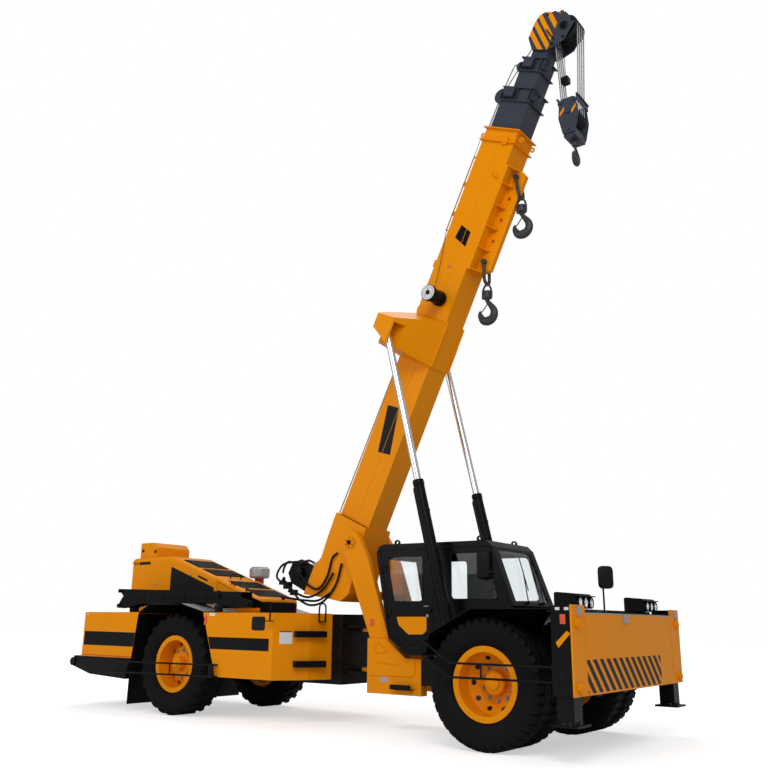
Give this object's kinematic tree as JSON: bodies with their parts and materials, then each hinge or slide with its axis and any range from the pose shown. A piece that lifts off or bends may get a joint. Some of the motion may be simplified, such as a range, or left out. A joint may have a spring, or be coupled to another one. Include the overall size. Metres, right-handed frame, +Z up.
{
  "type": "mobile crane",
  "caption": "Articulated pick-and-carry mobile crane with a raised telescopic boom, enclosed cab, twin lift cylinders, hooks and an engine hood over a counterweight.",
  "frame": {"origin": "middle of the bounding box at ground level, where the tyres stand", "axes": "+X forward from the engine end to the cab end, +Y to the machine's left, +Z up"},
  "size_m": [7.9353, 2.92, 8.6875],
  "materials": {
    "orange": "gloss",
    "black_frame": "satin",
    "dark_grey": "satin",
    "tyre": "matte",
    "rim": "satin",
    "glass": "gloss",
    "chrome": "polished",
    "steel": "satin",
    "seat": "matte",
    "plastic": "matte",
    "engine": "satin",
    "hook": "satin"
  },
  "bodies": {
    "front": {"front_chassis": "black_frame", "boom_supports": "orange", "front_axle": "black_frame", "cab_shell": "black_frame", "cab_glass": "glass", "cab_seat": "seat", "cab_controls": "plastic", "front_deck": "black_frame", "front_plate": "orange", "stabiliser_beam": "black_frame", "lamp_boxes": "black_frame", "front_rails": "black_frame", "mirrors": "black_frame"},
    "door": {"cab_door": "black_frame", "door_glass": "glass"},
    "front_wheel_left": {"front_tyre_left": "tyre", "front_rim_left": "rim"},
    "front_wheel_right": {"front_tyre_right": "tyre", "front_rim_right": "rim"},
    "leg_left": {"stabiliser_leg_left": "black_frame"},
    "leg_right": {"stabiliser_leg_right": "black_frame"},
    "rear": {"rear_frame": "black_frame", "rear_axle": "black_frame", "counterweight": "orange", "side_bodies": "orange", "hood": "orange", "hood_grilles": "black_frame", "engine": "engine", "pre_cleaner": "plastic", "rear_fenders": "black_frame", "rear_rails": "black_frame", "fly_jib": "black_frame"},
    "rear_wheel_left": {"rear_tyre_left": "tyre", "rear_rim_left": "rim"},
    "rear_wheel_right": {"rear_tyre_right": "tyre", "rear_rim_right": "rim"},
    "boom": {"boom_base": "orange", "winch_frame": "black_frame", "length_reel": "black_frame"},
    "drum": {"winch_drum": "steel"},
    "section_two": {"boom_section_two": "dark_grey"},
    "section_three": {"boom_section_three": "dark_grey"},
    "section_four": {"boom_section_four": "dark_grey"},
    "sheaves": {"head_sheaves": "steel"},
    "block": {"hook_block": "hook"},
    "hook_lower": {"plain_hook_lower": "hook"},
    "hook_upper": {"plain_hook_upper": "hook"},
    "barrel_left": {"cylinder_barrel_left": "black_frame"},
    "barrel_right": {"cylinder_barrel_right": "black_frame"},
    "rod_left": {"cylinder_rod_left": "chrome"},
    "rod_right": {"cylinder_rod_right": "chrome"}
  },
  "joints": [
    {"name": "articulation", "type": "hinge", "parent": "front", "child": "rear", "pos_m": [0.65, 0, 0.85], "axis": [0, 0, 1], "range_deg": [-40, 40]},
    {"name": "luff", "type": "hinge", "parent": "front", "child": "boom", "pos_m": [0.548, 0, 2.121], "axis": [0, -1, 0], "range_deg": [-56.8, 1.1]},
    {"name": "telescope_two", "type": "slide", "parent": "boom", "child": "section_two", "axis": [0.4253, 0, 0.9051], "range_m": [0, 3.7]},
    {"name": "telescope_three", "type": "slide", "parent": "section_two", "child": "section_three", "axis": [0.4253, 0, 0.9051], "range_m": [0, 3.7]},
    {"name": "telescope_four", "type": "slide", "parent": "section_three", "child": "section_four", "axis": [0.4253, 0, 0.9051], "range_m": [0, 3.7]},
    {"name": "sheaves_spin", "type": "hinge", "parent": "section_four", "child": "sheaves", "pos_m": [3.60975, 0, 8.38012], "axis": [0, 1, 0], "continuous": true},
    {"name": "block_swing", "type": "hinge", "parent": "section_four", "child": "block", "pos_m": [3.60975, 0, 8.38012], "axis": [0, -1, 0], "range_deg": [-5, 65]},
    {"name": "hook_lower_swing", "type": "hinge", "parent": "boom", "child": "hook_lower", "pos_m": [2.35499, 0, 5.53129], "axis": [0, -1, 0], "range_deg": [-8, 65]},
    {"name": "hook_upper_swing", "type": "hinge", "parent": "boom", "child": "hook_upper", "pos_m": [2.83813, 0, 6.55942], "axis": [0, -1, 0], "range_deg": [0, 65]},
    {"name": "drum_spin", "type": "hinge", "parent": "boom", "child": "drum", "pos_m": [-0.38538, 0, 1.78065], "axis": [0, 1, 0], "continuous": true},
    {"name": "door_swing", "type": "hinge", "parent": "front", "child": "door", "pos_m": [1.2665, -0.5, 1.053], "axis": [0.1537, 0, -0.9881], "range_deg": [0, 75]},
    {"name": "front_wheel_left_spin", "type": "hinge", "parent": "front", "child": "front_wheel_left", "pos_m": [2.9, 0.915, 0.613], "axis": [0, 1, 0], "continuous": true},
    {"name": "rear_wheel_left_spin", "type": "hinge", "parent": "rear", "child": "rear_wheel_left", "pos_m": [-1.82, 0.815, 0.626], "axis": [0, 1, 0], "continuous": true},
    {"name": "leg_left_slide", "type": "slide", "parent": "front", "child": "leg_left", "axis": [0, 0, -1], "range_m": [0, 0.29]},
    {"name": "barrel_left_tilt", "type": "hinge", "parent": "front", "child": "barrel_left", "pos_m": [2.238, 0.664, 0.838], "axis": [0, -1, 0], "range_deg": [-36.78, 0.72]},
    {"name": "rod_left_slide", "type": "slide", "parent": "barrel_left", "child": "rod_left", "axis": [-0.2386, 0, 0.9711], "range_m": [-1.7268, 0.0339]},
    {"name": "front_wheel_right_spin", "type": "hinge", "parent": "front", "child": "front_wheel_right", "pos_m": [2.9, -0.915, 0.613], "axis": [0, 1, 0], "continuous": true},
    {"name": "rear_wheel_right_spin", "type": "hinge", "parent": "rear", "child": "rear_wheel_right", "pos_m": [-1.82, -0.815, 0.626], "axis": [0, 1, 0], "continuous": true},
    {"name": "leg_right_slide", "type": "slide", "parent": "front", "child": "leg_right", "axis": [0, 0, -1], "range_m": [0, 0.29]},
    {"name": "barrel_right_tilt", "type": "hinge", "parent": "front", "child": "barrel_right", "pos_m": [2.238, -0.664, 0.838], "axis": [0, -1, 0], "range_deg": [-36.78, 0.72]},
    {"name": "rod_right_slide", "type": "slide", "parent": "barrel_right", "child": "rod_right", "axis": [-0.2386, 0, 0.9711], "range_m": [-1.7268, 0.0339]}
  ],
  "couplings": [
    {"joint": "telescope_three", "follows": "telescope_two", "ratio": 1},
    {"joint": "telescope_four", "follows": "telescope_two", "ratio": 1},
    {"joint": "barrel_left_tilt", "follows": "luff", "ratio": 0.6473},
    {"joint": "rod_left_slide", "follows": "luff", "m_per_rad": 1.7414},
    {"joint": "barrel_right_tilt", "follows": "luff", "ratio": 0.6473},
    {"joint": "rod_right_slide", "follows": "luff", "m_per_rad": 1.7414}
  ]
}
